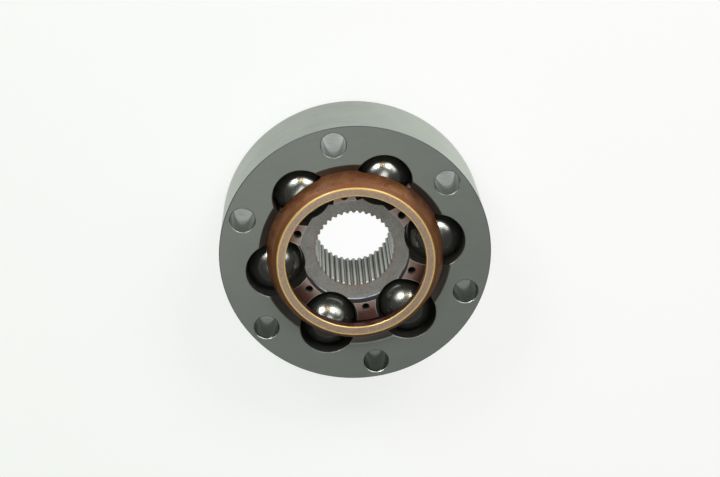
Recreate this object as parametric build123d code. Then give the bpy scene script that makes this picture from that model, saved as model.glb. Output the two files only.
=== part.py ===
from build123d import *
from math import cos, hypot, radians, sin, sqrt
import os

os.makedirs("parts", exist_ok=True)

# Frame: the joint stands on the back face of its outer race, the shaft axis is +Z,
# the first ball lies on +X and the open front end looks up.

# Balls and the ways that they run in
way_count = 6
ball_diameter = 22.225
ball_circle = 65.8
ball_play = 0.2875
way_offset = 4.0

# Cage: wall sizes are measured out from the balls
cage_over_balls = 3.9
cage_wall = 5.6
cage_lip = 3.5
cage_rim = 7.2375
cage_outer_chamfer = 0.9
cage_chamfer_fall = 1.7
cage_inner_chamfer = 0.25
window_width = 24.0
window_corner = 4.0
window_play = 0.05
running_play = 0.06

# Outer race: its walls are measured out from the cage
race_width = 36.0
race_front_chamfer = 0.3
race_back_taper = 2.0
race_back_inset = 1.2
centre_below_front = 11.5
mouth_flare = 1.4
mouth_depth = 1.5
edge_break = 0.3
bolt_hole = 10.0
bolt_hole_chamfer = 0.25
mouth_to_bolt_hole = 3.8
bolt_hole_to_rim = 2.0

# Inner race: its hub is measured in from the ways
land_above_centre = 7.5
land_below_centre = 12.0
land_edge_break = 0.4
recess_depth = 4.0
recess_beyond_hub = 1.6
recess_flare = 0.5
land_hole = 3.2
land_hole_wall = 0.5
land_hole_depth = 9.0
hub_below_ways = 0.2
hub_above_base = 0.3
hub_chamfer = 0.8

# Spline in the inner race
tooth_count = 40
tooth_depth = 0.95
tooth_tip_share = 0.22
tooth_root_share = 0.26
spline_chamfer = 0.25
hub_wall = 3.7

# Heights and radii that follow
centre = race_width - centre_below_front
ball_radius = ball_diameter / 2
ball_reach = ball_circle / 2
way_radius = ball_radius + ball_play
way_path = hypot(ball_reach, way_offset)
way_step = 360 / way_count
cage_radius = ball_reach + cage_over_balls
cage_half_width = ball_radius + window_play + cage_rim
cage_inner_radius = cage_radius - cage_wall
opening_radius = cage_inner_radius - cage_lip
bore_radius = cage_radius + running_play
mouth_radius = cage_radius + mouth_flare
bolt_reach = mouth_radius + mouth_to_bolt_hole + bolt_hole / 2
race_radius = bolt_reach + bolt_hole / 2 + bolt_hole_to_rim
star_radius = cage_inner_radius - running_play
land_top = centre + land_above_centre
land_base = centre - land_below_centre
way_floor = sqrt((way_path - way_radius)**2 - (land_below_centre - way_offset)**2)
hub_radius = way_floor - hub_below_ways
recess_base = land_top - recess_depth
recess_radius = hub_radius + recess_beyond_hub
spline_length = recess_base - hub_above_base
root_radius = hub_radius - hub_wall
tip_radius = root_radius - tooth_depth


# A disc that starts at a height
def up_from(height, radius, length):
    return Pos(0, 0, height + length / 2) * Cylinder(radius, length)


# A cone that starts at a height
def cone_from(height, low_radius, high_radius, length):
    return Pos(0, 0, height + length / 2) * Cone(low_radius, high_radius, length)


# A shape turned about the shaft axis
def at_angle(turn, shape):
    return Rot(0, 0, turn) * shape


# Each pair of opposite ways is one ring, swept by the ball about a centre on the shaft axis
def way_rings(offset):
    ring = Pos(0, 0, centre + offset) * Rot(90, 0, 0) * Torus(way_path, way_radius)
    return [at_angle(way_step * turn, ring) for turn in range(way_count // 2)]


# The face edges of a shape at one end that lie inside a radius
def inner_edges(shape, end, radius):
    return [edge for edge in shape.edges().group_by(Axis.Z)[end] if edge.bounding_box().size.X < 2 * radius]


# Outer race blank: a disc with a chamfered front and a tapered back edge
def make_race_blank():
    wall = race_width - race_back_taper - race_front_chamfer
    blank = cone_from(0, race_radius - race_back_inset, race_radius, race_back_taper)
    blank += up_from(race_back_taper, race_radius, wall)
    crown_base = race_width - race_front_chamfer
    crown_radius = race_radius - race_front_chamfer
    blank += cone_from(crown_base, race_radius, crown_radius, race_front_chamfer)
    return blank


# Bolt hole with a chamfer at each end
def make_bolt_hole():
    radius = bolt_hole / 2
    flared = radius + bolt_hole_chamfer
    hole = up_from(0, radius, race_width)
    hole += cone_from(race_width - bolt_hole_chamfer, radius, flared, bolt_hole_chamfer)
    hole += cone_from(0, flared, radius, bolt_hole_chamfer)
    return Pos(bolt_reach, 0, 0) * hole


# Outer race: spherical seat, conical mouth, six curved ways and six bolt holes
def make_outer_race():
    race = make_race_blank() - Pos(0, 0, centre) * Sphere(bore_radius)
    mouth_base = race_width - mouth_depth
    mouth_inner = sqrt(bore_radius**2 - (mouth_base - centre)**2)
    race -= cone_from(mouth_base, mouth_inner, mouth_radius, mouth_depth)
    for ring in way_rings(way_offset):
        race -= ring
    race = chamfer(inner_edges(race, -1, bolt_reach), edge_break)
    race = chamfer(inner_edges(race, 0, bolt_reach), edge_break)
    for turn in range(way_count):
        race -= at_angle(way_step * (turn + 0.5), make_bolt_hole())
    return race


# Cage blank: a spherical ring with a lip inside each end
def make_cage_blank():
    base = centre - cage_half_width
    slab = up_from(base, 2 * cage_radius, 2 * cage_half_width)
    shell = Pos(0, 0, centre) * Sphere(cage_radius) & slab
    shell -= Pos(0, 0, centre) * Sphere(cage_inner_radius)
    shell -= up_from(base, opening_radius, 2 * cage_half_width)
    for end in (-1, 0):
        rim = shell.edges().group_by(Axis.Z)[end].sort_by(SortBy.LENGTH)[-1]
        end_face = shell.faces().sort_by(Axis.Z)[end]
        shell = chamfer(rim, cage_outer_chamfer, cage_chamfer_fall, reference=end_face)
        shell = chamfer(shell.edges().group_by(Axis.Z)[end].sort_by(SortBy.LENGTH)[0], cage_inner_chamfer)
    return shell


# Cage: one window for each ball
def make_cage():
    window_height = ball_diameter + 2 * window_play
    outline = Plane.YZ * RectangleRounded(window_width, window_height, window_corner)
    window = Pos(0, 0, centre) * extrude(outline, 2 * cage_radius)
    cage = make_cage_blank()
    for turn in range(way_count):
        cage -= at_angle(way_step * turn, window)
    return cage


# Splined bore: a toothed prism with a small chamfer at each end
def make_spline():
    pitch = 360 / tooth_count
    tip_half = pitch * tooth_tip_share / 2
    root_half = pitch * tooth_root_share / 2
    points = []
    for tooth in range(tooth_count):
        corners = ((-tip_half, tip_radius), (tip_half, tip_radius))
        corners += ((pitch / 2 - root_half, root_radius), (pitch / 2 + root_half, root_radius))
        for turn, radius in corners:
            angle = radians(pitch * tooth + turn)
            points.append((radius * cos(angle), radius * sin(angle)))
    bore = Pos(0, 0, hub_above_base) * extrude(Polygon(*points, align=None), spline_length)
    flared = tip_radius + spline_chamfer
    bore += cone_from(recess_base - spline_chamfer, tip_radius, flared, spline_chamfer)
    bore += cone_from(hub_above_base, flared, tip_radius, spline_chamfer)
    return bore


# Star of the inner race: a ball zone with six curved ways
def make_star():
    slab = up_from(land_base, 2 * cage_radius, land_top - land_base)
    zone = Pos(0, 0, centre) * Sphere(star_radius) & slab
    star = chamfer(zone.edges().group_by(Axis.Z)[-1], land_edge_break)
    for ring in way_rings(-way_offset):
        star -= ring
    return star


# Inner race: the star on its hub, with a recessed front, small land holes and the spline
def make_inner_race():
    hub = up_from(hub_above_base, hub_radius, spline_length)
    hub = chamfer(hub.edges().group_by(Axis.Z)[0], hub_chamfer)
    race = make_star() + hub
    race -= cone_from(recess_base, recess_radius, recess_radius + recess_flare, recess_depth)
    hole_radius = land_hole / 2
    hole_reach = recess_radius + recess_flare + land_hole_wall + hole_radius
    hole = Pos(hole_reach, 0, 0) * up_from(land_top - land_hole_depth, hole_radius, land_hole_depth)
    for turn in range(way_count):
        race -= at_angle(way_step * (turn + 0.5), hole)
    return race - make_spline()


# Ball in its window
def make_ball(turn):
    return at_angle(turn, Pos(ball_reach, 0, centre)) * Sphere(ball_radius)


export_step(make_outer_race(), "parts/outer_race.step")
export_step(make_cage(), "parts/cage.step")
export_step(make_inner_race(), "parts/inner_race.step")
for number in range(way_count):
    export_step(make_ball(way_step * number), f"parts/ball_{number + 1}.step")
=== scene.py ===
import logging
from collections.abc import Sequence
from dataclasses import dataclass, field
from enum import Enum
from math import hypot, pi, radians
from typing import Protocol

import bpy
from mathutils import Euler, Matrix, Vector

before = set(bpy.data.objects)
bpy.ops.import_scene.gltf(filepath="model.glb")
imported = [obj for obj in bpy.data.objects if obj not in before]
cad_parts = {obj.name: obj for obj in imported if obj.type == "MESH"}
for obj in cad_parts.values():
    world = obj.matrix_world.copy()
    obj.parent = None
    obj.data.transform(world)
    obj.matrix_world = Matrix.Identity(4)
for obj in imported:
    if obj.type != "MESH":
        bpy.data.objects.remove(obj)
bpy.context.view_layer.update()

LOG = logging.getLogger("constant_velocity_joint")
MM = 0.001
BALL_COUNT = 6
Socket = bpy.types.NodeSocket
Colour = tuple[float, float, float]
Place = tuple[float, float, float]
Span = tuple[float, float]
Shares = tuple[float, ...]
Value = Socket | float
Paint = Socket | Colour
Inputs = dict[str | int, object]


class Step(Enum):
    """How sharply a mask turns on across its edge, in millimetres."""

    CRISP = 0.03
    FINE = 0.12
    SOFT = 0.6


class Graph:
    """Places nodes in one node tree and joins them by their sockets."""

    def __init__(self, tree: bpy.types.NodeTree) -> None:
        """Starts on an empty tree.

        Args:
            tree: the node tree to fill.
        """
        self.tree = tree
        tree.nodes.clear()

    def node(self, kind: str, inputs: Inputs | None = None, **options: object) -> bpy.types.Node:
        """Adds one node with its options and inputs.

        Args:
            kind: the node's type name.
            inputs: sockets to join or plain values to set, by input name or number.
            **options: the node's own options.

        Returns:
            The new node.
        """
        node = self.tree.nodes.new(kind)
        for name, value in options.items():
            setattr(node, name, value)
        self.fill(node, inputs or {})
        return node

    def fill(self, node: bpy.types.Node, inputs: Inputs) -> None:
        """Joins or sets a node's inputs.

        Args:
            node: the node.
            inputs: sockets to join or plain values to set, by input name or number.
        """
        for key, value in inputs.items():
            socket = node.inputs[key]
            if isinstance(value, Socket):
                self.tree.links.new(value, socket)
            elif socket.type == "RGBA":
                socket.default_value = (*value, 1.0)
            else:
                socket.default_value = value

    def math(self, operation: str, *values: Value, clamp: bool = False) -> Socket:
        """Joins a Math node.

        Args:
            operation: the node's operation.
            *values: its inputs in order.
            clamp: whether the result is held between 0 and 1.

        Returns:
            The result.
        """
        inputs = dict(enumerate(values))
        return self.node("ShaderNodeMath", inputs, operation=operation, use_clamp=clamp).outputs[0]

    def weigh(self, values: Sequence[Socket], shares: Shares) -> Socket:
        """Adds values up, each times its own share.

        Args:
            values: the values.
            shares: one share for each value.

        Returns:
            The sum, held between 0 and 1.
        """
        total: Value = 0.0
        for value, share in zip(values, shares, strict=True):
            total = self.math("MULTIPLY_ADD", value, share, total)
        return self.math("ADD", total, 0.0, clamp=True)

    def combine(self, x: Value, y: Value, z: Value = 0.0) -> Socket:
        """Makes a vector of three values."""
        return self.node("ShaderNodeCombineXYZ", {0: x, 1: y, 2: z}).outputs[0]

    def length(self, x: Value, y: Value) -> Socket:
        """Measures how far a point in a plane lies from the middle."""
        vector = self.combine(x, y)
        return self.node("ShaderNodeVectorMath", {0: vector}, operation="LENGTH").outputs["Value"]

    def scale(self, vector: Socket, factor: Value) -> Socket:
        """Multiplies a vector by a factor."""
        inputs = {0: vector, "Scale": factor}
        return self.node("ShaderNodeVectorMath", inputs, operation="SCALE").outputs[0]

    def split(self, vector: Socket) -> tuple[Socket, Socket, Socket]:
        """Takes a vector apart into its three values."""
        outputs = self.node("ShaderNodeSeparateXYZ", {0: vector}).outputs
        return outputs[0], outputs[1], outputs[2]

    def ramp(
            self, value: Socket, low: float, high: float,
            start: Value = 0.0, end: Value = 1.0, kind: str = "LINEAR") -> Socket:
        """Turns one range of a value into another, held at both ends.

        Args:
            value: the measured value.
            low: where the range starts.
            high: where the range ends.
            start: the result up to its start.
            end: the result from its end on.
            kind: how the result goes from one to the other.

        Returns:
            The result.
        """
        inputs = {0: value, 1: low, 2: high, 3: start, 4: end}
        return self.node("ShaderNodeMapRange", inputs, interpolation_type=kind).outputs[0]

    def above(self, value: Socket, edge: float, step: Step = Step.FINE) -> Socket:
        """Masks where a value is above an edge.

        Args:
            value: the measured value.
            edge: where the mask turns on.
            step: how sharply it turns on.

        Returns:
            The mask.
        """
        half = step.value / 2
        return self.ramp(value, edge - half, edge + half, kind="SMOOTHSTEP")

    def below(self, value: Socket, edge: float, step: Step = Step.FINE) -> Socket:
        """Masks where a value is below an edge."""
        return self.math("SUBTRACT", 1.0, self.above(value, edge, step))

    def band(self, value: Socket, low: float, high: float) -> Socket:
        """Masks where a value lies between two edges."""
        return self.both(self.above(value, low), self.below(value, high))

    def both(self, *masks: Socket) -> Socket:
        """Masks where every one of the masks is on.

        Args:
            *masks: the masks.

        Returns:
            The mask that they share.
        """
        result = masks[0]
        for mask in masks[1:]:
            result = self.math("MULTIPLY", result, mask)
        return result

    def either(self, *masks: Socket) -> Socket:
        """Masks where any one of the masks is on.

        Args:
            *masks: the masks.

        Returns:
            The mask that they make together.
        """
        result = masks[0]
        for mask in masks[1:]:
            result = self.math("MAXIMUM", result, mask)
        return result

    def blend(self, mask: Socket, off: Paint, on: Paint, share: float = 1.0) -> Socket:
        """Mixes two colours by a mask.

        Args:
            mask: where the second colour shows.
            off: the colour where the mask is off.
            on: the colour where the mask is on.
            share: how much of the second colour shows where the mask is on.

        Returns:
            The mixed colour.
        """
        amount = mask if share == 1.0 else self.math("MULTIPLY", mask, share)
        return self.node("ShaderNodeMix", {0: amount, 6: off, 7: on}, data_type="RGBA").outputs[2]

    def lerp(self, mask: Value, off: Value, on: Value) -> Socket:
        """Mixes two plain values by a mask."""
        return self.node("ShaderNodeMix", {0: mask, 2: off, 3: on}, data_type="FLOAT").outputs[0]

    def noise(self, vector: Socket, scale: float = 1.0, detail: float = 3.0, rough: float = 0.5) -> Socket:
        """Reads a noise pattern between 0 and 1."""
        inputs = {"Vector": vector, "Scale": scale, "Detail": detail, "Roughness": rough}
        return self.node("ShaderNodeTexNoise", inputs).outputs[0]


class Effect:
    """A shader node group that several finishes share."""

    def __init__(self, name: str, takes: dict[str, str], gives: dict[str, str]) -> None:
        """Makes an empty group with its named sockets.

        Args:
            name: the group's name.
            takes: input names and their socket kinds.
            gives: output names and their socket kinds.
        """
        self.tree = bpy.data.node_groups.new(name, "ShaderNodeTree")
        for direction, sockets in (("INPUT", takes), ("OUTPUT", gives)):
            for socket, kind in sockets.items():
                self.tree.interface.new_socket(socket, in_out=direction, socket_type=f"NodeSocket{kind}")
        self.graph = Graph(self.tree)
        self.takes = self.tree.nodes.new("NodeGroupInput").outputs
        self.gives = self.tree.nodes.new("NodeGroupOutput").inputs

    def give(self, name: str, value: Socket) -> None:
        """Joins one result to a named output."""
        self.tree.links.new(value, self.gives[name])

    def use(self, graph: Graph, **inputs: Value) -> dict[str, Socket]:
        """Places the group in a material.

        Args:
            graph: the material's graph.
            **inputs: the group's inputs by name.

        Returns:
            The group's outputs by name.
        """
        node = graph.node("ShaderNodeGroup", inputs, node_tree=self.tree)
        return {output.name: output for output in node.outputs}


@dataclass(frozen=True)
class JointSizes:
    """Sizes of the joint that its finishes follow, in millimetres."""

    race_width: float = 36.0
    race_radius: float = 54.0
    centre: float = 24.5
    ball_reach: float = 32.9
    way_offset: float = 4.0
    way_radius: float = 11.4
    way_tip_radius: float = 44.6
    mouth_radius: float = 38.4
    bolt_reach: float = 47.0
    bolt_hole_radius: float = 5.0
    cage_top: float = 42.9
    cage_skin_radius: float = 35.9
    cage_lip_radius: float = 28.0
    cage_lip_rise: float = 14.0
    cage_shoulder_fall: float = 1.49
    ring_outer_radius: float = 30.92
    ring_inner_radius: float = 28.15
    land_top: float = 32.0
    land_hole_reach: float = 24.217
    land_hole_radius: float = 1.6
    recess_floor: float = 28.0
    recess_radius: float = 22.3
    star_way_radius: float = 20.3
    tooth_tip_radius: float = 15.42
    tooth_flank_radius: float = 15.85
    tooth_root_radius: float = 16.33

    @property
    def way_path(self) -> float:
        """Radius of the circle that a ball's centre runs on."""
        return hypot(self.ball_reach, self.way_offset)

    @property
    def cage_half_width(self) -> float:
        """Height of the cage's end above the joint's centre."""
        return self.cage_top - self.centre


class Effects:
    """Builds the shared node groups of the joint's finishes."""

    def __init__(self, sizes: JointSizes) -> None:
        """Builds every group once.

        Args:
            sizes: the joint's sizes.
        """
        self.sizes = sizes
        self.round = self.cylinder_coordinates()
        self.ways = self.way_distance()
        self.lines = self.machining_lines()
        self.mottle = self.oxide_mottle()
        self.edge_lines = self.edge_line()
        self.holes = self.hole_distance()

    def cylinder_coordinates(self) -> Effect:
        """Measures a surface point about the shaft axis.

        Returns:
            The node group.
        """
        effect = Effect(
            "Cylinder Coordinates", {"Position": "Vector"},
            {"Point": "Vector", "Radius": "Float", "Turn": "Float", "Height": "Float"})
        graph = effect.graph
        point = graph.scale(effect.takes["Position"], 1 / MM)
        x, y, z = graph.split(point)
        effect.give("Point", point)
        effect.give("Radius", graph.length(x, y))
        effect.give("Turn", graph.math("ARCTAN2", y, x))
        effect.give("Height", z)
        return effect

    def way_distance(self) -> Effect:
        """Measures how far a point lies outside the nearest of the curved ball ways.

        Returns:
            The node group.
        """
        effect = Effect("Way Distance", {"Point": "Vector", "Centre": "Float"}, {"Distance": "Float"})
        graph = effect.graph
        distances = []
        for pair in range(BALL_COUNT // 2):
            inputs = {"Vector": effect.takes["Point"], "Angle": -2 * pi * pair / BALL_COUNT}
            turned = graph.node("ShaderNodeVectorRotate", inputs, rotation_type="Z_AXIS").outputs[0]
            x, y, z = graph.split(turned)
            rise = graph.math("SUBTRACT", z, effect.takes["Centre"])
            across = graph.math("SUBTRACT", graph.length(x, rise), self.sizes.way_path)
            distances.append(graph.math("SUBTRACT", graph.length(across, y), self.sizes.way_radius))
        nearest = distances[0]
        for distance in distances[1:]:
            nearest = graph.math("MINIMUM", nearest, distance)
        effect.give("Distance", nearest)
        return effect

    def machining_lines(self) -> Effect:
        """Fine tool marks: long along one direction and close together across it.

        Returns:
            The node group.
        """
        stretch, coarse_scale, coarse_layer, coarse_share = 0.06, 0.21, 4.0, 0.35
        effect = Effect(
            "Machining Lines", {"Across": "Float", "Along": "Float", "Pitch": "Float"}, {"Lines": "Float"})
        graph = effect.graph
        across = graph.math("DIVIDE", effect.takes["Across"], effect.takes["Pitch"])
        along = graph.math("MULTIPLY", effect.takes["Along"], stretch)
        fine = graph.noise(graph.combine(across, along), detail=2.0, rough=0.6)
        wider = graph.combine(graph.math("MULTIPLY", across, coarse_scale), along, coarse_layer)
        effect.give("Lines", graph.lerp(coarse_share, fine, graph.noise(wider, detail=1.0)))
        return effect

    def oxide_mottle(self) -> Effect:
        """Soft uneven clouds, and a fine grain, as heat and oil leave on steel.

        Returns:
            The node group.
        """
        effect = Effect(
            "Oxide Mottle", {"Point": "Vector", "Size": "Float"}, {"Clouds": "Float", "Grain": "Float"})
        graph = effect.graph
        scaled = graph.scale(effect.takes["Point"], graph.math("DIVIDE", 1.0, effect.takes["Size"]))
        effect.give("Clouds", graph.ramp(graph.noise(scaled, rough=0.55), 0.3, 0.7))
        effect.give("Grain", graph.noise(effect.takes["Point"], scale=1.1, detail=5.0, rough=0.8))
        return effect

    def edge_line(self) -> Effect:
        """A thin line along an edge, broken up by grain: used for the tint line, the gold edge and painted
        highlights.

        Returns:
            The node group.
        """
        fade = 1.5
        effect = Effect(
            "Edge Wear", {"Distance": "Float", "Width": "Float", "Grain": "Float"}, {"Wear": "Float"})
        graph = effect.graph
        width = graph.math("MULTIPLY", effect.takes["Width"], graph.math("ADD", effect.takes["Grain"], 0.5))
        share = graph.math("DIVIDE", graph.math("ABSOLUTE", effect.takes["Distance"]), width)
        effect.give("Wear", graph.math("SUBTRACT", 1.0, graph.math("POWER", share, fade), clamp=True))
        return effect

    def hole_distance(self) -> Effect:
        """Measures how far a point lies outside the nearest of the holes that stand between the balls.

        Returns:
            The node group.
        """
        effect = Effect(
            "Hole Distance", {"Radius": "Float", "Turn": "Float", "Reach": "Float", "Hole": "Float"},
            {"Distance": "Float"})
        graph = effect.graph
        half_pitch = pi / BALL_COUNT
        folded = graph.math("PINGPONG", graph.math("ADD", effect.takes["Turn"], 2 * pi), half_pitch)
        off_line = graph.math("SUBTRACT", half_pitch, folded)
        ahead = graph.math("MULTIPLY", effect.takes["Radius"], graph.math("COSINE", off_line))
        ahead = graph.math("SUBTRACT", ahead, effect.takes["Reach"])
        aside = graph.math("MULTIPLY", effect.takes["Radius"], graph.math("SINE", off_line))
        effect.give("Distance", graph.math("SUBTRACT", graph.length(ahead, aside), effect.takes["Hole"]))
        return effect


class Material:
    """One procedural material that starts from the joint's cylinder coordinates."""

    def __init__(self, name: str, effects: Effects) -> None:
        """Makes the material with its shader and output.

        Args:
            name: the material's name.
            effects: the shared node groups.
        """
        self.data = bpy.data.materials.new(name)
        self.data.use_nodes = True
        self.graph = Graph(self.data.node_tree)
        self.effects = effects
        self.shader = self.graph.node("ShaderNodeBsdfPrincipled")
        self.graph.node("ShaderNodeOutputMaterial", {"Surface": self.shader.outputs[0]})
        position = self.graph.node("ShaderNodeTexCoord").outputs["Object"]
        found = effects.round.use(self.graph, Position=position)
        self.point, self.radius = found["Point"], found["Radius"]
        self.turn, self.height = found["Turn"], found["Height"]
        self.arc = self.graph.math("MULTIPLY", self.turn, self.radius)

    def set(self, **inputs: Value) -> None:
        """Sets or joins the shader's inputs, with underscores for spaces."""
        self.graph.fill(self.shader, {name.replace("_", " "): value for name, value in inputs.items()})

    def bump(self, height: Socket, depth: float) -> None:
        """Raises the surface by a height pattern.

        Args:
            height: the pattern, 0 to 1.
            depth: its full height in millimetres.
        """
        inputs = {"Strength": 1.0, "Distance": depth * MM, "Height": height}
        self.set(Normal=self.graph.node("ShaderNodeBump", inputs).outputs[0])

    def way_gap(self, centre: float) -> Socket:
        """Distance outside the nearest ball way that is swept about a height on the axis."""
        return self.effects.ways.use(self.graph, Point=self.point, Centre=centre)["Distance"]

    def hole_gap(self, reach: float, hole: float) -> Socket:
        """Distance outside the nearest of the holes, from their reach and radius."""
        inputs = {"Radius": self.radius, "Turn": self.turn, "Reach": reach, "Hole": hole}
        return self.effects.holes.use(self.graph, **inputs)["Distance"]

    def tool_marks(self, across: Socket, along: Socket, pitch: float) -> Socket:
        """Tool marks of a pitch in millimetres."""
        return self.effects.lines.use(self.graph, Across=across, Along=along, Pitch=pitch)["Lines"]

    def clouds(self, size: float) -> tuple[Socket, Socket]:
        """Soft clouds of a size in millimetres, and the fine grain."""
        found = self.effects.mottle.use(self.graph, Point=self.point, Size=size)
        return found["Clouds"], found["Grain"]

    def edge_line_mask(self, value: Socket, edge: float, width: float, grain: Socket) -> Socket:
        """Mask of a thin line along an edge: used for the tint line, the gold edge and painted highlights.

        Args:
            value: the measured value.
            edge: its value at the edge.
            width: the line's half width in millimetres.
            grain: what breaks it up.

        Returns:
            The mask.
        """
        distance = self.graph.math("SUBTRACT", value, edge)
        return self.effects.edge_lines.use(self.graph, Distance=distance, Width=width, Grain=grain)["Wear"]

    def contrast(self, pattern: Socket) -> Socket:
        """Spreads the middle of a pattern over the whole range."""
        return self.graph.ramp(pattern, 0.35, 0.65)

    def centred(self, pattern: Socket) -> Socket:
        """Moves a pattern's middle to zero."""
        return self.graph.math("SUBTRACT", pattern, 0.5)


class Finish(Protocol):
    """What every finish can do. Its lengths are in millimetres, and its shares between 0 and 1."""

    def make(self, effects: Effects) -> bpy.types.Material:
        """Builds the finish's material.

        Args:
            effects: the shared node groups.

        Returns:
            The material.
        """


@dataclass(frozen=True)
class SlateSteel:
    """Finish of the outer race: oiled slate-grey steel; painted shade darkens its mouth, ways and rim, with
    painted sheen and highlights.
    """

    face: Colour = (0.104, 0.121, 0.107)
    face_light: Colour = (0.160, 0.184, 0.162)
    face_mix: Shares = (0.8, 0.2)
    face_depth: float = 0.1
    face_rough: Span = (0.38, 0.50)
    side: Colour = (0.160, 0.183, 0.155)
    side_light: Colour = (0.540, 0.594, 0.515)
    side_mix: Shares = (0.40, 0.10, 0.50)
    # Phase of the painted sheen: the side lightens and darkens twice around, as it would when reflecting a
    # lit floor.
    painted_sheen_phase: float = radians(-194.0)
    side_rough: Span = (0.34, 0.50)
    # Painted shade: the mouth and the ways are coloured darker than the face, where shade falls inside the
    # race.
    mouth: Colour = (0.037, 0.037, 0.031)
    way: Colour = (0.080, 0.080, 0.077)
    way_edge: float = 0.12
    inside_depth: float = 0.02
    inside_rough: float = 0.36
    hole: Colour = (0.17, 0.19, 0.17)
    hole_light: Colour = (0.27, 0.295, 0.27)
    hole_edge: float = 0.06
    hole_depth: float = 0.2
    hole_rough: Span = (0.16, 0.12)
    chamfer: Colour = (0.420, 0.440, 0.420)
    chamfer_depth: float = 0.03
    chamfer_width: float = 0.3
    # Painted shade: a dark line along the edge of the outer rim.
    rim_shade: Colour = (0.060, 0.070, 0.080)
    rim_shade_width: float = 0.36
    # Painted highlight: a light line along the edges, broken up by grain.
    edge_glint: Colour = (0.30, 0.31, 0.30)
    edge_glint_share: float = 0.6
    edge_glint_width: float = 0.25
    edge_depth: float = 0.3
    metal: Span = (0.55, 0.25)
    ior: float = 1.9
    cloud_size: float = 14.0
    ground_pitch: float = 0.30
    turned_pitch: float = 1.10
    drilled_pitch: float = 1.4
    relief: float = 0.008
    grain_share: float = 0.3

    def make(self, effects: Effects) -> bpy.types.Material:
        """Builds the material.

        Args:
            effects: the shared node groups.

        Returns:
            The material.
        """
        sizes = effects.sizes
        material = Material("Slate Steel", effects)
        graph, radius, height, arc = material.graph, material.radius, material.height, material.arc
        top = sizes.race_width
        x, y, _ = graph.split(material.point)
        clouds, grain = material.clouds(self.cloud_size)
        ground = material.tool_marks(y, x, self.ground_pitch)
        turned = material.tool_marks(height, arc, self.turned_pitch)
        drilled = material.contrast(material.tool_marks(height, arc, self.drilled_pitch))

        is_face = graph.above(height, top - self.face_depth)
        near_face = graph.above(height, top - self.edge_depth)
        inside = graph.below(height, top - self.inside_depth, Step.CRISP)
        in_mouth = graph.both(graph.below(radius, sizes.mouth_radius), inside)
        gap = material.way_gap(sizes.centre + sizes.way_offset)
        in_way = graph.both(inside, graph.below(gap, self.way_edge))
        in_way = graph.both(in_way, graph.below(radius, sizes.way_tip_radius))
        off_hole = material.hole_gap(sizes.bolt_reach, sizes.bolt_hole_radius)
        in_hole = graph.below(off_hole, self.hole_edge)
        in_hole = graph.both(in_hole, graph.below(height, top - self.hole_depth))
        below_face = graph.below(height, top - self.chamfer_depth, Step.CRISP)
        brim = graph.both(graph.band(off_hole, 0.0, self.chamfer_width), near_face, below_face)
        rim = graph.both(graph.above(radius, sizes.race_radius - self.rim_shade_width), near_face)
        # Painted highlight along the way edges on the face.
        lip = graph.both(material.edge_line_mask(gap, self.way_edge, self.edge_glint_width, grain), near_face)

        # Painted reflection: the side lightens and darkens twice around its turn, as if it reflected a lit
        # floor; side_mix gives this half of the side's tone, the rest is turning marks and clouds.
        twice = graph.math("MULTIPLY_ADD", material.turn, 2.0, self.painted_sheen_phase)
        painted_sheen = graph.math("MULTIPLY_ADD", graph.math("COSINE", twice), -0.5, 0.5)
        side = graph.blend(graph.weigh((turned, clouds, painted_sheen), self.side_mix), self.side, self.side_light)
        face = graph.blend(graph.weigh((ground, clouds), self.face_mix), self.face, self.face_light)
        colour = graph.blend(is_face, side, face)
        # Painted shade in the mouth and the ways.
        colour = graph.blend(in_mouth, colour, self.mouth)
        colour = graph.blend(in_way, colour, self.way)
        colour = graph.blend(in_hole, colour, graph.blend(drilled, self.hole, self.hole_light))
        colour = graph.blend(brim, colour, self.chamfer)
        # Painted shade along the outer rim.
        colour = graph.blend(rim, colour, self.rim_shade)
        # Painted highlight on the way edges.
        colour = graph.blend(lip, colour, self.edge_glint, self.edge_glint_share)

        side_rough, face_rough = graph.lerp(turned, *self.side_rough), graph.lerp(ground, *self.face_rough)
        roughness = graph.lerp(is_face, side_rough, face_rough)
        roughness = graph.lerp(graph.either(in_mouth, in_way), roughness, self.inside_rough)
        roughness = graph.lerp(in_hole, roughness, graph.lerp(drilled, *self.hole_rough))
        metallic = graph.lerp(graph.either(in_hole, brim, lip), graph.lerp(is_face, *self.metal), 1.0)
        material.set(Base_Color=colour, Roughness=roughness, Metallic=metallic, IOR=self.ior)

        marks = graph.lerp(is_face, turned, ground)
        marks = graph.lerp(self.grain_share, marks, grain)
        material.bump(graph.lerp(graph.either(in_hole, in_way), marks, 0.5), self.relief)
        return material.data


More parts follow.
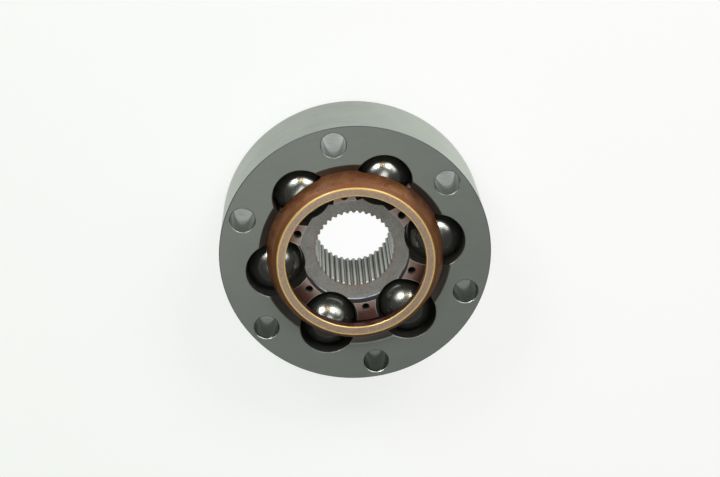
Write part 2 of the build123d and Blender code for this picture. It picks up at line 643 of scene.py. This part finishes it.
@dataclass(frozen=True)
class TemperedCage:
    """Finish of the cage: copper-brown tempered steel with ground end rings and gold edges; painted shade
    darkens the band towards the race mouth.
    """

    band: Colour = (0.098, 0.033, 0.016)
    band_light: Colour = (0.455, 0.185, 0.070)
    band_mix: Shares = (0.42, 0.38, 0.38, 0.55)
    # Where the band's painted shade starts and ends, below the cage's end.
    band_fade: Span = (7.0, 0.5)
    band_rough: Span = (0.24, 0.38)
    band_coat: float = 0.75
    shoulder: Colour = (0.160, 0.058, 0.018)
    shoulder_share: float = 0.9
    shoulder_rough: float = 0.58
    speck: Colour = (0.030, 0.016, 0.011)
    speck_share: float = 0.32
    speck_grain: Span = (0.50, 0.64)
    ring: Colour = (0.225, 0.160, 0.120)
    ring_light: Colour = (0.550, 0.400, 0.290)
    ring_depth: float = 0.04
    ring_rough: Span = (0.38, 0.54)
    gold: Colour = (0.860, 0.600, 0.200)
    gold_share: float = 0.9
    gold_depth: float = 0.45
    gold_width: float = 0.52
    gold_rough: float = 0.42
    lip: Colour = (0.110, 0.030, 0.016)
    inside: Colour = (0.060, 0.025, 0.016)
    metal: float = 0.6
    coat_rough: float = 0.26
    end_coat: float = 0.12
    cloud_size: float = 5.0
    patch_size: float = 11.0
    drawn_pitch: float = 1.6
    ring_pitch: float = 0.62
    relief: float = 0.006

    def make(self, effects: Effects) -> bpy.types.Material:
        """Builds the material.

        Args:
            effects: the shared node groups.

        Returns:
            The material.
        """
        sizes = effects.sizes
        material = Material("Tempered Cage", effects)
        graph, radius = material.graph, material.radius
        end = sizes.cage_half_width
        clouds, grain = material.clouds(self.cloud_size)
        patches, _ = material.clouds(self.patch_size)
        drawn = material.tool_marks(material.arc, material.height, self.drawn_pitch)
        marks = material.tool_marks(radius, material.arc, self.ring_pitch)
        specks = graph.ramp(grain, *self.speck_grain)

        depth = graph.math("ABSOLUTE", graph.math("SUBTRACT", material.height, sizes.centre))
        # Painted shade: the band darkens away from the end ring, towards the race mouth.
        near_end = graph.ramp(depth, end - self.band_fade[0], end - self.band_fade[1])
        outer_skin = graph.above(graph.length(radius, depth), sizes.cage_skin_radius)
        in_lip = graph.below(radius, sizes.cage_lip_radius)
        in_lip = graph.both(in_lip, graph.above(depth, sizes.cage_lip_rise))
        on_shoulder = graph.both(outer_skin, graph.above(depth, end - sizes.cage_shoulder_fall))
        on_ring = graph.above(depth, end - self.ring_depth, Step.CRISP)
        outer_edge = material.edge_line_mask(radius, sizes.ring_outer_radius, self.gold_width, grain)
        inner_edge = graph.below(radius, sizes.ring_inner_radius, Step.SOFT)
        edges = graph.both(graph.either(outer_edge, inner_edge), graph.above(depth, end - self.gold_depth))

        # The band's tone: painted shade from near_end, with clouds, drawn marks and patches.
        tone_and_shade = graph.weigh((near_end, clouds, drawn, material.centred(patches)), self.band_mix)
        colour = graph.blend(tone_and_shade, self.band, self.band_light)
        colour = graph.blend(specks, colour, self.speck, self.speck_share)
        colour = graph.blend(outer_skin, self.inside, colour)
        colour = graph.blend(in_lip, colour, self.lip)
        colour = graph.blend(on_shoulder, colour, self.shoulder, self.shoulder_share)
        fleck = graph.lerp(0.5, marks, material.contrast(grain))
        colour = graph.blend(on_ring, colour, graph.blend(fleck, self.ring, self.ring_light))
        colour = graph.blend(edges, colour, self.gold, self.gold_share)

        roughness = graph.lerp(on_shoulder, graph.lerp(clouds, *self.band_rough), self.shoulder_rough)
        roughness = graph.lerp(on_ring, roughness, graph.lerp(marks, *self.ring_rough))
        roughness = graph.lerp(edges, roughness, self.gold_rough)
        coat = graph.lerp(graph.either(on_shoulder, on_ring), self.band_coat, self.end_coat)
        material.set(Base_Color=colour, Roughness=roughness, Metallic=self.metal)
        material.set(Coat_Weight=coat, Coat_Roughness=self.coat_rough)
        material.bump(graph.lerp(on_ring, grain, marks), self.relief)
        return material.data


@dataclass(frozen=True)
class HeatTintedStar:
    """Finish of the inner race: taupe-grey steel and a grey-green spline; its lands turn red-brown outwards
    as painted shade and reflection.
    """

    taupe: Colour = (0.345, 0.340, 0.310)
    violet: Colour = (0.145, 0.140, 0.137)
    floor_mix: Shares = (0.25, 0.25, 0.5)
    floor_rise: float = 0.1
    floor_rough: Span = (0.28, 0.48)
    tint_line: Colour = (0.420, 0.160, 0.085)
    tint_share: float = 0.8
    tint_radius: float = 16.35
    tint_width: float = 0.4
    # Painted shade and reflection: the lands go from pink by the recess to dark red-brown towards the cage.
    land_near: Colour = (0.340, 0.262, 0.235)
    land_far: Colour = (0.150, 0.070, 0.055)
    land_fade: Span = (22.5, 27.0)
    land_mix: Shares = (1.0, 0.5)
    land_depth: float = 0.06
    # Land hole colours: light near the top and dark deep down, as painted shade.
    land_hole: Colour = (0.520, 0.500, 0.440)
    hole_dark: Colour = (0.040, 0.036, 0.032)
    hole_edge: float = 0.04
    hole_depth: float = 0.1
    hole_fade: Span = (4.0, 0.8)
    # Painted shade: the ways are coloured dark.
    way: Colour = (0.100, 0.094, 0.076)
    way_edge: float = 0.08
    way_depth: float = 0.05
    way_rough: float = 0.50
    wall: Colour = (0.060, 0.060, 0.068)
    wall_rough: float = 0.15
    # Painted highlight: a bluish-white glint line low on the recess wall.
    wall_glint: Colour = (0.800, 0.850, 0.950)
    foot_rise: float = 0.4
    foot_width: float = 0.6
    foot_clouds: float = 0.35
    foot_rough: float = 0.45
    foot_metal: float = 0.1
    tooth: Colour = (0.620, 0.660, 0.615)
    # Painted shade at the tooth roots and corners.
    tooth_dark: Colour = (0.060, 0.060, 0.055)
    tooth_mix: Shares = (0.42, 0.40, 0.65)
    tooth_depth: float = 0.02
    # Painted highlight along the tooth crests.
    crest: Colour = (0.800, 0.840, 0.780)
    crest_share: float = 0.6
    crest_width: float = 0.16
    # Painted highlight: a light line along the land edges, broken up by grain.
    edge_glint: Colour = (0.62, 0.58, 0.54)
    edge_glint_share: float = 0.6
    edge_glint_width: float = 0.3
    collar_radius: float = 22.1
    metal: Span = (0.5, 0.75)
    cloud_size: float = 6.0
    faced_pitch: float = 0.55
    drawn_pitch: float = 0.5
    relief: float = 0.008

    def make(self, effects: Effects) -> bpy.types.Material:
        """Builds the material.

        Args:
            effects: the shared node groups.

        Returns:
            The material.
        """
        sizes = effects.sizes
        material = Material("Heat Tinted Star", effects)
        graph, radius, height = material.graph, material.radius, material.height
        top, base = sizes.land_top, sizes.recess_floor
        clouds, grain = material.clouds(self.cloud_size)
        marks = material.tool_marks(radius, material.arc, self.faced_pitch)
        drawn = material.tool_marks(material.arc, height, self.drawn_pitch)
        tone = graph.weigh((marks, clouds, material.contrast(grain)), self.floor_mix)

        above_floor = graph.above(height, base + self.floor_rise)
        on_land = graph.above(height, top - self.land_depth, Step.CRISP)
        in_recess = graph.below(radius, sizes.recess_radius)
        on_wall = graph.both(above_floor, graph.below(height, top - self.land_depth), in_recess)
        # Painted highlight low on the recess wall, broken up by grain and clouds.
        painted_glint = material.edge_line_mask(height, base + self.foot_rise, self.foot_width, grain)
        painted_glint = graph.both(painted_glint, above_floor, in_recess, graph.above(clouds, self.foot_clouds, Step.SOFT))
        gap = material.way_gap(sizes.centre - sizes.way_offset)
        in_way = graph.both(graph.below(gap, self.way_edge), graph.above(radius, sizes.star_way_radius))
        in_way = graph.both(in_way, graph.below(height, top - self.way_depth))
        off_hole = material.hole_gap(sizes.land_hole_reach, sizes.land_hole_radius)
        in_hole = graph.below(off_hole, self.hole_edge)
        in_hole = graph.both(in_hole, graph.below(height, top - self.hole_depth))
        in_bore = graph.below(radius, sizes.tooth_root_radius)
        in_bore = graph.both(in_bore, graph.below(height, base - self.tooth_depth))
        line = material.edge_line_mask(radius, self.tint_radius, self.tint_width, grain)
        # Painted highlights along the land edges at the ways and at the recess.
        lip = material.edge_line_mask(gap, 0.0, self.edge_glint_width, grain)
        collar = material.edge_line_mask(radius, self.collar_radius, self.edge_glint_width, grain)

        floor = graph.blend(tone, self.taupe, self.violet)
        floor = graph.blend(graph.both(line, clouds), floor, self.tint_line, self.tint_share)
        # The recess wall, with its painted highlight.
        colour = graph.blend(above_floor, floor, graph.blend(painted_glint, self.wall, self.wall_glint))
        # Painted shade and reflection across the lands, broken up by clouds.
        fade = graph.weigh((graph.ramp(radius, *self.land_fade), material.centred(clouds)), self.land_mix)
        colour = graph.blend(on_land, colour, graph.blend(fade, self.land_near, self.land_far))
        # Painted shade in the ways.
        colour = graph.blend(in_way, colour, self.way)
        colour = graph.blend(in_bore, colour, self.tooth_colour(material, drawn, grain))
        # Painted shade: each land hole darkens with depth.
        light = graph.ramp(height, top - self.hole_fade[0], top - self.hole_fade[1])
        colour = graph.blend(in_hole, colour, graph.blend(light, self.hole_dark, self.land_hole))
        # Painted highlight on the land edges.
        edge_line_mask = graph.both(graph.either(lip, collar), on_land)
        colour = graph.blend(edge_line_mask, colour, self.edge_glint, self.edge_glint_share)

        roughness = graph.lerp(in_way, graph.lerp(tone, *self.floor_rough), self.way_rough)
        roughness = graph.lerp(on_wall, roughness, self.wall_rough)
        roughness = graph.lerp(painted_glint, roughness, self.foot_rough)
        metallic = graph.lerp(painted_glint, graph.lerp(above_floor, *self.metal), self.foot_metal)
        material.set(Base_Color=colour, Roughness=roughness, Metallic=metallic)
        material.bump(graph.lerp(in_bore, graph.lerp(0.5, marks, grain), drawn), self.relief)
        return material.data

    def tooth_colour(self, material: Material, drawn: Socket, grain: Socket) -> Socket:
        """Colours the spline: painted shade at the roots and root corners, broach marks, and a painted
        highlight along the crests.

        Args:
            material: the material to build in.
            drawn: the marks that the broach leaves.
            grain: the fine grain.

        Returns:
            The colour.
        """
        graph, radius, sizes = material.graph, material.radius, material.effects.sizes
        # Painted shade at the roots and in the root corners, mixed with the broach marks.
        root = graph.above(radius, sizes.tooth_root_radius, Step.CRISP)
        corner = graph.band(radius, sizes.tooth_flank_radius, sizes.tooth_root_radius)
        crest = material.edge_line_mask(radius, sizes.tooth_tip_radius, self.crest_width, grain)
        shade = graph.weigh((root, drawn, corner), self.tooth_mix)
        colour = graph.blend(shade, self.tooth, self.tooth_dark)
        return graph.blend(crest, colour, self.crest, self.crest_share)


@dataclass(frozen=True)
class PolishedBall:
    """Finish of the balls: black-mirror bearing steel under a faint film of oil."""

    steel: Colour = (0.300, 0.310, 0.296)
    oil: Colour = (0.290, 0.295, 0.245)
    oil_share: float = 0.6
    rough: Span = (0.22, 0.27)
    metal: float = 0.97
    coat: float = 0.4
    coat_rough: float = 0.09
    cloud_size: float = 5.0
    relief: float = 0.0001

    def make(self, effects: Effects) -> bpy.types.Material:
        """Builds the material.

        Args:
            effects: the shared node groups.

        Returns:
            The material.
        """
        material = Material("Polished Ball", effects)
        graph = material.graph
        clouds, grain = material.clouds(self.cloud_size)
        colour = graph.blend(clouds, self.steel, self.oil, self.oil_share)
        material.set(Base_Color=colour, Roughness=graph.lerp(clouds, *self.rough), Metallic=self.metal)
        material.set(Coat_Weight=self.coat, Coat_Roughness=self.coat_rough)
        material.bump(grain, self.relief)
        return material.data


@dataclass
class Piece:
    """One sub-assembly of the joint: CAD nodes that share a finish."""

    nodes: tuple[str, ...]
    finish: Finish

    def dress(self, effects: Effects) -> None:
        """Gives the nodes their finish.

        Args:
            effects: the shared node groups.
        """
        material = self.finish.make(effects)
        for node in self.nodes:
            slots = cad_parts[node].data.materials
            slots.clear()
            slots.append(material)
            LOG.info("%s: %s", node, material.name)


@dataclass
class Race(Piece):
    """The bolted outer race."""

    nodes: tuple[str, ...] = ("outer_race",)
    finish: Finish = field(default_factory=SlateSteel)


@dataclass
class Cage(Piece):
    """The windowed cage that holds the balls in one plane."""

    nodes: tuple[str, ...] = ("cage",)
    finish: Finish = field(default_factory=TemperedCage)


@dataclass
class Star(Piece):
    """The splined inner race."""

    nodes: tuple[str, ...] = ("inner_race",)
    finish: Finish = field(default_factory=HeatTintedStar)


@dataclass
class Balls(Piece):
    """The balls in the cage's windows."""

    nodes: tuple[str, ...] = tuple(f"ball_{number + 1}" for number in range(BALL_COUNT))
    finish: Finish = field(default_factory=PolishedBall)


@dataclass(frozen=True)
class Viewpoint:
    """The photograph's camera, measured from the joint."""

    place: Place = (0.0210, 0.2230, 0.5789)
    pitch: float = 21.64
    yaw: float = 2.217
    roll: float = -10.3
    lens: float = 74.05
    sensor: float = 36.0
    near: float = 0.02

    def make(self) -> bpy.types.Object:
        """Adds the camera and makes it the scene's own.

        Returns:
            The camera.
        """
        data = bpy.data.cameras.new("Camera")
        data.lens = self.lens
        data.sensor_width = self.sensor
        data.clip_start = self.near
        camera = bpy.data.objects.new("Camera", data)
        bpy.context.scene.collection.objects.link(camera)
        to_view = Matrix.Rotation(radians(self.pitch), 4, "X") @ Matrix.Rotation(radians(self.yaw), 4, "Y")
        turn = Matrix.Rotation(radians(self.roll), 4, "Z") @ to_view.transposed()
        camera.matrix_world = Matrix.Translation(Vector(self.place)) @ turn
        bpy.context.scene.camera = camera
        return camera


@dataclass(frozen=True)
class Lamp:
    """One soft lamp, placed by its direction from the joint as the camera sees it, in degrees."""

    name: str
    right: float
    up: float
    power: float
    width: float
    tall: float
    away: float = 1.5
    tint: Colour = (1.0, 1.0, 1.0)
    target: Place = (0.0, 0.0, 0.030)

    def make(self, camera: bpy.types.Object) -> None:
        """Adds the lamp, aimed at the joint.

        Args:
            camera: the camera that the direction is measured from.
        """
        data = bpy.data.lights.new(self.name, "AREA")
        data.shape = "RECTANGLE"
        data.size, data.size_y = self.width, self.tall
        data.energy = self.power
        data.color = self.tint
        lamp = bpy.data.objects.new(self.name, data)
        bpy.context.scene.collection.objects.link(lamp)
        look = Euler((radians(-self.up), radians(self.right), 0.0)).to_matrix()
        aim = camera.matrix_world.to_3x3() @ look @ Vector((0.0, 0.0, 1.0))
        lamp.location = Vector(self.target) + aim * self.away
        lamp.rotation_euler = aim.to_track_quat("Z", "Y").to_euler()


@dataclass(frozen=True)
class FloorZone:
    """How white a ring of the floor shows, as a share, to the camera and in reflections.

    In reflections it goes from one share at the front to another at the back, between two places in metres.
    """

    camera: float
    front: float
    back: float
    fade: Span = (-0.02, 0.06)

    def share(self, graph: Graph, to_back: Socket, is_camera: Socket) -> Socket:
        """Works the share out.

        Args:
            graph: the floor's graph.
            to_back: the distance towards the back.
            is_camera: whether the camera sees the floor itself.

        Returns:
            The share.
        """
        return graph.lerp(is_camera, graph.ramp(to_back, *self.fade, self.front, self.back), self.camera)


@dataclass(frozen=True)
class Studio:
    """Pale floor, pale walls under a dim ceiling, and soft lamps around the camera."""

    floor_size: float = 8.0
    floor_colour: Colour = (0.90, 0.93, 0.90)
    fibre_shade: float = 0.98
    fibre_scale: float = 900.0
    wall_colour: Colour = (0.950, 0.978, 0.945)
    paper_white: Colour = (1.0, 1.0, 1.0)
    white_from: Span = (-0.16, 0.09)
    ceiling_colour: Colour = (0.068, 0.069, 0.067)
    horizon: Span = (-0.02, 0.02)
    # Painted light: inside the bore the floor shows near white to the camera, which hides the joint's
    # shadow there; in reflections the floor under and around the joint shows darker at the front than at
    # the back, as painted shade.
    in_bore: FloorZone = FloorZone(camera=0.98, front=0.45, back=0.45)
    under_joint: FloorZone = FloorZone(camera=0.05, front=0.52, back=0.98, fade=(-0.035, 0.035))
    around_joint: FloorZone = FloorZone(camera=0.76, front=0.50, back=0.98)
    bore_edge: Span = (17.0, 20.0)
    joint_edge: Span = (50.0, 54.0)
    lamps: tuple[Lamp, ...] = (
        Lamp("Lamp Left", -26.0, 27.0, 8.0, 0.48, 0.44),
        Lamp("Lamp Right", 26.0, 27.0, 8.6, 0.48, 0.44),
        Lamp("Lamp Far Left", -38.0, 21.0, 2.2, 0.70, 0.50, tint=(0.97, 1.0, 0.99)),
        Lamp("Lamp Far Right", 48.0, 19.0, 3.4, 0.70, 0.50, tint=(0.97, 1.0, 0.99)),
        Lamp("Lamp Front", 0.0, -20.0, 7.4, 1.40, 0.60, tint=(0.99, 1.0, 0.95)),
        Lamp("Lamp Warm", 2.0, 31.0, 0.9, 0.13, 0.13, tint=(1.0, 0.62, 0.18)),
    )

    def make(self, camera: bpy.types.Object) -> None:
        """Builds the floor, the world and the lamps.

        Args:
            camera: the camera that the lamps stand around.
        """
        self.make_floor()
        self.make_world()
        for lamp in self.lamps:
            lamp.make(camera)

    def make_floor(self) -> None:
        """Adds the floor, which shows pale to the camera and still takes the joint's shadow."""
        bpy.ops.object.select_all(action="DESELECT")
        bpy.ops.mesh.primitive_plane_add(size=self.floor_size, location=(0.0, 0.0, 0.0))
        floor = bpy.context.object
        floor.name = "floor"
        material = bpy.data.materials.new("Studio Paper")
        material.use_nodes = True
        graph = Graph(material.node_tree)
        point = graph.node("ShaderNodeTexCoord").outputs["Object"]
        to_right, to_back, _ = graph.split(point)
        fibre = graph.noise(point, scale=self.fibre_scale)
        shaded = tuple(self.fibre_shade * value for value in self.floor_colour)
        colour = graph.blend(fibre, shaded, self.floor_colour)
        paper = graph.node("ShaderNodeBsdfDiffuse", {"Color": colour}).outputs[0]
        # Painted light: the floor turns whiter towards the right.
        lit = graph.ramp(to_right, *self.white_from, kind="SMOOTHSTEP")
        white = graph.blend(lit, self.wall_colour, self.paper_white)
        glow = graph.node("ShaderNodeEmission", {"Color": white, "Strength": 1.0}).outputs[0]
        share = self.glow_share(graph, to_right, to_back)
        mixed = graph.node("ShaderNodeMixShader", {0: share, 1: paper, 2: glow}).outputs[0]
        graph.node("ShaderNodeOutputMaterial", {"Surface": mixed})
        floor.data.materials.append(material)

    def glow_share(self, graph: Graph, to_right: Socket, to_back: Socket) -> Socket:
        """Works out where the floor shows its own white instead of the light on it.

        Args:
            graph: the floor's graph.
            to_right: the distance towards the right, in metres.
            to_back: the distance towards the back, in metres.

        Returns:
            The share of white.
        """
        rays = graph.node("ShaderNodeLightPath").outputs
        is_camera = rays["Is Camera Ray"]
        away = graph.math("DIVIDE", graph.length(to_right, to_back), MM)
        zones = (self.in_bore, self.under_joint, self.around_joint)
        bore, under, around = (zone.share(graph, to_back, is_camera) for zone in zones)
        spread = graph.ramp(away, *self.bore_edge, bore, under)
        spread = graph.ramp(away, *self.joint_edge, spread, around)
        seen = graph.either(is_camera, rays["Is Glossy Ray"], rays["Is Transmission Ray"])
        return graph.both(seen, spread)

    def make_world(self) -> None:
        """Fills the world with pale walls that turn dim towards the ceiling."""
        world = bpy.data.worlds.new("Studio")
        world.use_nodes = True
        bpy.context.scene.world = world
        graph = Graph(world.node_tree)
        _, _, rise = graph.split(graph.node("ShaderNodeTexCoord").outputs["Generated"])
        up = graph.ramp(rise, *self.horizon, kind="SMOOTHSTEP")
        is_camera = graph.node("ShaderNodeLightPath").outputs["Is Camera Ray"]
        dim = graph.both(up, graph.math("SUBTRACT", 1.0, is_camera))
        colour = graph.blend(dim, self.wall_colour, self.ceiling_colour)
        background = graph.node("ShaderNodeBackground", {"Color": colour, "Strength": 1.0}).outputs[0]
        graph.node("ShaderNodeOutputWorld", {"Surface": background})


def main() -> None:
    """Builds the joint's finishes, then its studio and camera."""
    logging.basicConfig(level=logging.INFO, format="%(name)s %(message)s")
    effects = Effects(JointSizes())
    for piece in (Race(), Cage(), Star(), Balls()):
        piece.dress(effects)
    camera = Viewpoint().make()
    Studio().make(camera)
    bpy.context.scene.view_settings.view_transform = "Standard"


if __name__ == "__main__":
    main()
